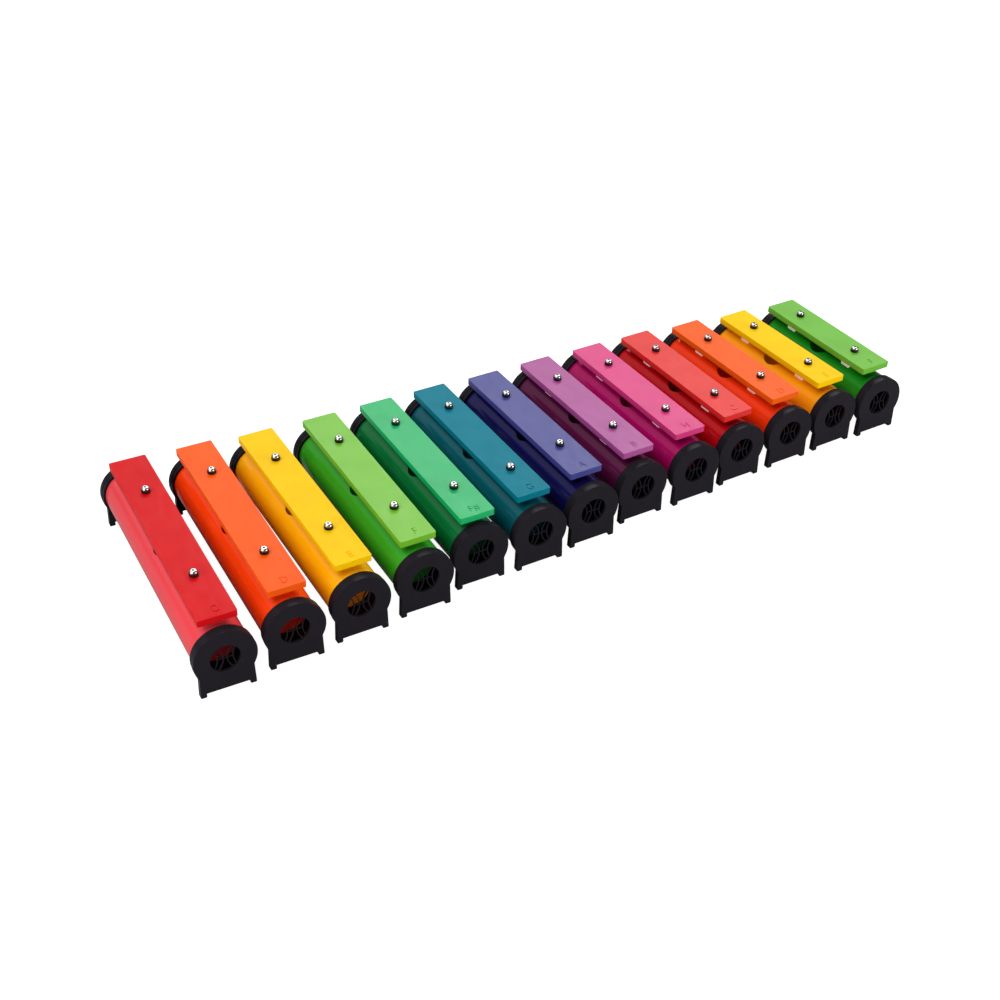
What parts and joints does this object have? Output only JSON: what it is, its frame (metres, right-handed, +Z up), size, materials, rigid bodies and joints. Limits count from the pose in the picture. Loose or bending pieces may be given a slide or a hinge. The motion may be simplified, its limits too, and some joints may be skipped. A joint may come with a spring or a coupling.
{
  "type": "xylophone",
  "caption": "Row of separate resonator chime bars, low C to high F, each a coloured sound bar screwed over a tube that stands on two footed end caps.",
  "frame": {"origin": "on the floor, at the centre of the row's bounding box", "axes": "+X along the row from the lowest note to the highest, +Y from the player to the far side, +Z up"},
  "size_m": [0.8104, 0.2758, 0.0791],
  "materials": {
    "bar_paint_c5": "satin powder coat on a flat metal bar",
    "tube_plastic_c5": "glossy through-coloured plastic tube",
    "bar_paint_d5": "satin powder coat on a flat metal bar",
    "tube_plastic_d5": "glossy through-coloured plastic tube",
    "bar_paint_e5": "satin powder coat on a flat metal bar",
    "tube_plastic_e5": "glossy through-coloured plastic tube",
    "bar_paint_f5": "satin powder coat on a flat metal bar",
    "tube_plastic_f5": "glossy through-coloured plastic tube",
    "bar_paint_f_sharp5": "satin powder coat on a flat metal bar",
    "tube_plastic_f_sharp5": "glossy through-coloured plastic tube",
    "bar_paint_g5": "satin powder coat on a flat metal bar",
    "tube_plastic_g5": "glossy through-coloured plastic tube",
    "bar_paint_a5": "satin powder coat on a flat metal bar",
    "tube_plastic_a5": "glossy through-coloured plastic tube",
    "bar_paint_b_flat5": "satin powder coat on a flat metal bar",
    "tube_plastic_b_flat5": "glossy through-coloured plastic tube",
    "bar_paint_b5": "satin powder coat on a flat metal bar",
    "tube_plastic_b5": "glossy through-coloured plastic tube",
    "bar_paint_c6": "satin powder coat on a flat metal bar",
    "tube_plastic_c6": "glossy through-coloured plastic tube",
    "bar_paint_d6": "satin powder coat on a flat metal bar",
    "tube_plastic_d6": "glossy through-coloured plastic tube",
    "bar_paint_e6": "satin powder coat on a flat metal bar",
    "tube_plastic_e6": "glossy through-coloured plastic tube",
    "bar_paint_f6": "satin powder coat on a flat metal bar",
    "tube_plastic_f6": "glossy through-coloured plastic tube",
    "cap_plastic": "black moulded plastic, satin",
    "pad_felt": "white pressed felt",
    "washer_rubber": "black rubber",
    "screw_steel": "bright nickel-plated steel"
  },
  "bodies": {
    "chime_c5": {"bar_c5": "bar_paint_c5", "tube_c5": "tube_plastic_c5", "front_cap_c5": "cap_plastic", "rear_cap_c5": "cap_plastic", "front_pad_c5": "pad_felt", "front_washer_c5": "washer_rubber", "front_screw_c5": "screw_steel", "rear_pad_c5": "pad_felt", "rear_washer_c5": "washer_rubber", "rear_screw_c5": "screw_steel"},
    "chime_d5": {"bar_d5": "bar_paint_d5", "tube_d5": "tube_plastic_d5", "front_cap_d5": "cap_plastic", "rear_cap_d5": "cap_plastic"},
    "chime_e5": {"bar_e5": "bar_paint_e5", "tube_e5": "tube_plastic_e5", "front_cap_e5": "cap_plastic", "rear_cap_e5": "cap_plastic"},
    "chime_f5": {"bar_f5": "bar_paint_f5", "tube_f5": "tube_plastic_f5", "front_cap_f5": "cap_plastic", "rear_cap_f5": "cap_plastic"},
    "chime_f_sharp5": {"bar_f_sharp5": "bar_paint_f_sharp5", "tube_f_sharp5": "tube_plastic_f_sharp5", "front_cap_f_sharp5": "cap_plastic", "rear_cap_f_sharp5": "cap_plastic"},
    "chime_g5": {"bar_g5": "bar_paint_g5", "tube_g5": "tube_plastic_g5", "front_cap_g5": "cap_plastic", "rear_cap_g5": "cap_plastic"},
    "chime_a5": {"bar_a5": "bar_paint_a5", "tube_a5": "tube_plastic_a5", "front_cap_a5": "cap_plastic", "rear_cap_a5": "cap_plastic"},
    "chime_b_flat5": {"bar_b_flat5": "bar_paint_b_flat5", "tube_b_flat5": "tube_plastic_b_flat5", "front_cap_b_flat5": "cap_plastic", "rear_cap_b_flat5": "cap_plastic"},
    "chime_b5": {"bar_b5": "bar_paint_b5", "tube_b5": "tube_plastic_b5", "front_cap_b5": "cap_plastic", "rear_cap_b5": "cap_plastic"},
    "chime_c6": {"bar_c6": "bar_paint_c6", "tube_c6": "tube_plastic_c6", "front_cap_c6": "cap_plastic", "rear_cap_c6": "cap_plastic"},
    "chime_d6": {"bar_d6": "bar_paint_d6", "tube_d6": "tube_plastic_d6", "front_cap_d6": "cap_plastic", "rear_cap_d6": "cap_plastic"},
    "chime_e6": {"bar_e6": "bar_paint_e6", "tube_e6": "tube_plastic_e6", "front_cap_e6": "cap_plastic", "rear_cap_e6": "cap_plastic"},
    "chime_f6": {"bar_f6": "bar_paint_f6", "tube_f6": "tube_plastic_f6", "front_cap_f6": "cap_plastic", "rear_cap_f6": "cap_plastic"}
  },
  "joints": [
    {"name": "lift_d5", "type": "slide", "parent": "chime_c5", "child": "chime_d5", "axis": [0, 0, 1], "range_m": [0, 0.12]},
    {"name": "lift_e5", "type": "slide", "parent": "chime_c5", "child": "chime_e5", "axis": [0, 0, 1], "range_m": [0, 0.12]},
    {"name": "lift_f5", "type": "slide", "parent": "chime_c5", "child": "chime_f5", "axis": [0, 0, 1], "range_m": [0, 0.12]},
    {"name": "lift_f_sharp5", "type": "slide", "parent": "chime_c5", "child": "chime_f_sharp5", "axis": [0, 0, 1], "range_m": [0, 0.12]},
    {"name": "lift_g5", "type": "slide", "parent": "chime_c5", "child": "chime_g5", "axis": [0, 0, 1], "range_m": [0, 0.12]},
    {"name": "lift_a5", "type": "slide", "parent": "chime_c5", "child": "chime_a5", "axis": [0, 0, 1], "range_m": [0, 0.12]},
    {"name": "lift_b_flat5", "type": "slide", "parent": "chime_c5", "child": "chime_b_flat5", "axis": [0, 0, 1], "range_m": [0, 0.12]},
    {"name": "lift_b5", "type": "slide", "parent": "chime_c5", "child": "chime_b5", "axis": [0, 0, 1], "range_m": [0, 0.12]},
    {"name": "lift_c6", "type": "slide", "parent": "chime_c5", "child": "chime_c6", "axis": [0, 0, 1], "range_m": [0, 0.12]},
    {"name": "lift_d6", "type": "slide", "parent": "chime_c5", "child": "chime_d6", "axis": [0, 0, 1], "range_m": [0, 0.12]},
    {"name": "lift_e6", "type": "slide", "parent": "chime_c5", "child": "chime_e6", "axis": [0, 0, 1], "range_m": [0, 0.12]},
    {"name": "lift_f6", "type": "slide", "parent": "chime_c5", "child": "chime_f6", "axis": [0, 0, 1], "range_m": [0, 0.12]}
  ]
}
